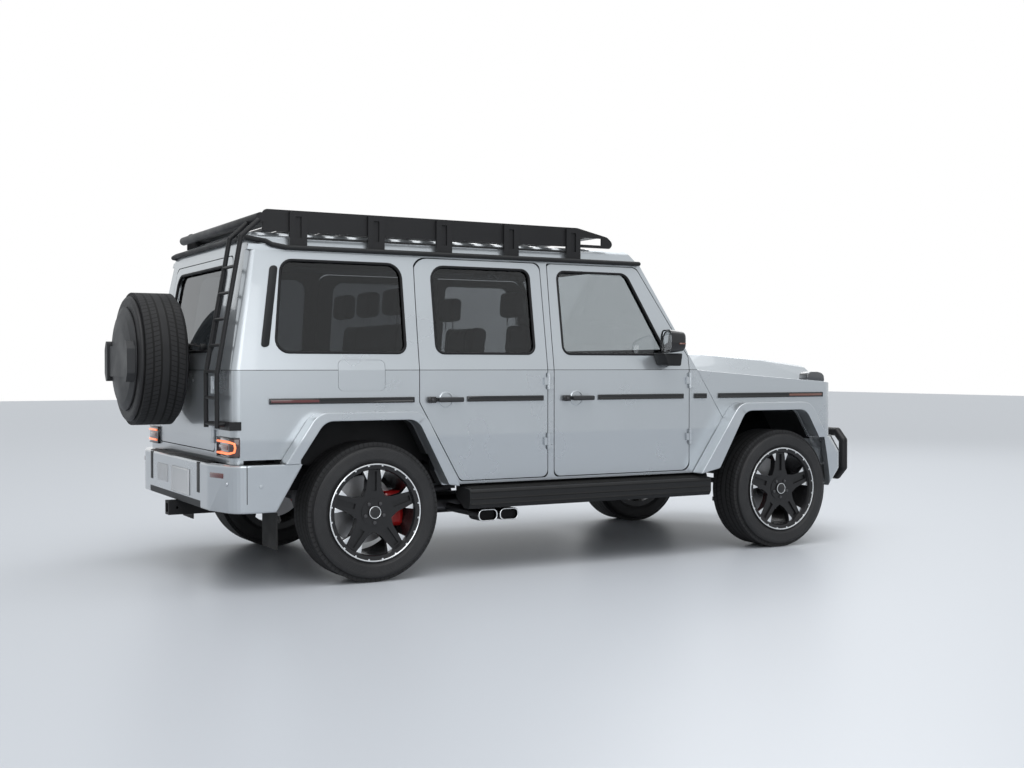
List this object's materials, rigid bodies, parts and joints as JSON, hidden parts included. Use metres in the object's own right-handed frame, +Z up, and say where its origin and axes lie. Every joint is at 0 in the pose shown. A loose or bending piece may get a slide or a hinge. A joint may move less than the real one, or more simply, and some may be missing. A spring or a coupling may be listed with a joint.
{
  "type": "off-road estate car",
  "caption": "Boxy lifted off-road car with opening doors, bonnet and side-hinged rear door, steered front wheels, roof rack, ladder, spare wheel and brush guard.",
  "frame": {"origin": "on the ground under the middle of the whole car, spare wheel and brush guard included", "axes": "+X forward along the car, +Y to the car's left, +Z up"},
  "size_m": [4.9553, 2.1586, 2.038],
  "materials": {
    "paint": "metallic silver-blue lacquer, glossy",
    "black_trim": "satin to glossy black plastic",
    "black_steel": "black powder coat",
    "glass": "tinted clear glass",
    "red_lens": "red lens",
    "clear_lens": "clear lens over bright reflector",
    "exhaust_steel": "dulled steel",
    "flap_rubber": "matte black rubber",
    "engine_alloy": "cast alloy",
    "axle_iron": "black painted castings",
    "seat_leather": "dark leather",
    "dash_plastic": "dark soft-touch plastic",
    "rim_paint": "gloss black with a bright turned lip",
    "tyre": "black rubber, moulded"
  },
  "bodies": {
    "body": {"chassis_frame": "black_steel", "tow_hitch": "black_steel", "floor_tub": "black_steel", "body_sides": "paint", "roof_panel": "paint", "rear_panel": "paint", "cowl_panel": "paint", "front_fenders": "paint", "arch_flares": "paint", "arch_liners": "black_trim", "grille_panel": "black_trim", "front_lamps": "clear_lens", "front_bumper": "paint", "brush_guard": "black_steel", "rear_bumper": "paint", "tail_lamps": "red_lens", "side_steps": "black_trim", "exhaust": "exhaust_steel", "mud_flaps": "flap_rubber", "roof_rack": "black_steel", "gutters": "black_trim", "ladder": "black_steel", "fixed_glass": "glass", "powertrain": "engine_alloy", "rear_axle": "axle_iron", "front_suspension": "axle_iron", "seats": "seat_leather", "dashboard": "dash_plastic", "fuel_flap": "paint"},
    "bonnet": {"bonnet": "paint"},
    "door_front_right": {"door_front_right": "paint", "glass_front_right": "glass", "mirror_right": "black_trim"},
    "door_front_left": {"door_front_left": "paint", "glass_front_left": "glass", "mirror_left": "black_trim"},
    "door_rear_right": {"door_rear_right": "paint", "glass_rear_right": "glass"},
    "door_rear_left": {"door_rear_left": "paint", "glass_rear_left": "glass"},
    "tailgate": {"tailgate": "paint", "glass_tailgate": "glass", "spare_tyre": "tyre", "spare_cover": "black_trim"},
    "knuckle_right": {"knuckle_right": "axle_iron"},
    "knuckle_left": {"knuckle_left": "axle_iron"},
    "wheel_front_right": {"rim_front_right": "rim_paint", "tyre_front_right": "tyre"},
    "wheel_front_left": {"rim_front_left": "rim_paint", "tyre_front_left": "tyre"},
    "wheel_rear_right": {"rim_rear_right": "rim_paint", "tyre_rear_right": "tyre"},
    "wheel_rear_left": {"rim_rear_left": "rim_paint", "tyre_rear_left": "tyre"}
  },
  "joints": [
    {"name": "door_front_right_hinge", "type": "hinge", "parent": "body", "child": "door_front_right", "pos_m": [0.8745, -0.889, 0.95], "axis": [0, 0, 1], "range_deg": [0, 70]},
    {"name": "door_front_left_hinge", "type": "hinge", "parent": "body", "child": "door_front_left", "pos_m": [0.8745, 0.889, 0.95], "axis": [0, 0, -1], "range_deg": [0, 70]},
    {"name": "door_rear_right_hinge", "type": "hinge", "parent": "body", "child": "door_rear_right", "pos_m": [-0.1715, -0.889, 0.95], "axis": [0, 0, 1], "range_deg": [0, 70]},
    {"name": "door_rear_left_hinge", "type": "hinge", "parent": "body", "child": "door_rear_left", "pos_m": [-0.1715, 0.889, 0.95], "axis": [0, 0, -1], "range_deg": [0, 70]},
    {"name": "tailgate_hinge", "type": "hinge", "parent": "body", "child": "tailgate", "pos_m": [-2.1065, -0.56, 0.95], "axis": [0, 0, 1], "range_deg": [0, 90]},
    {"name": "bonnet_hinge", "type": "hinge", "parent": "body", "child": "bonnet", "pos_m": [0.9445, 0, 1.27], "axis": [0, -1, 0], "range_deg": [0, 55]},
    {"name": "steer_right", "type": "hinge", "parent": "body", "child": "knuckle_right", "pos_m": [1.5725, -0.705, 0.385], "axis": [0, 0, 1], "range_deg": [-30, 30]},
    {"name": "steer_left", "type": "hinge", "parent": "body", "child": "knuckle_left", "pos_m": [1.5725, 0.705, 0.385], "axis": [0, 0, 1], "range_deg": [-30, 30]},
    {"name": "spin_front_right", "type": "hinge", "parent": "knuckle_right", "child": "wheel_front_right", "pos_m": [1.5725, -0.827, 0.385], "axis": [0, 1, 0], "continuous": true},
    {"name": "spin_front_left", "type": "hinge", "parent": "knuckle_left", "child": "wheel_front_left", "pos_m": [1.5725, 0.827, 0.385], "axis": [0, 1, 0], "continuous": true},
    {"name": "spin_rear_right", "type": "hinge", "parent": "body", "child": "wheel_rear_right", "pos_m": [-1.3175, -0.827, 0.385], "axis": [0, 1, 0], "continuous": true},
    {"name": "spin_rear_left", "type": "hinge", "parent": "body", "child": "wheel_rear_left", "pos_m": [-1.3175, 0.827, 0.385], "axis": [0, 1, 0], "continuous": true}
  ],
  "couplings": [
    {"joint": "steer_left", "follows": "steer_right", "ratio": 1}
  ]
}
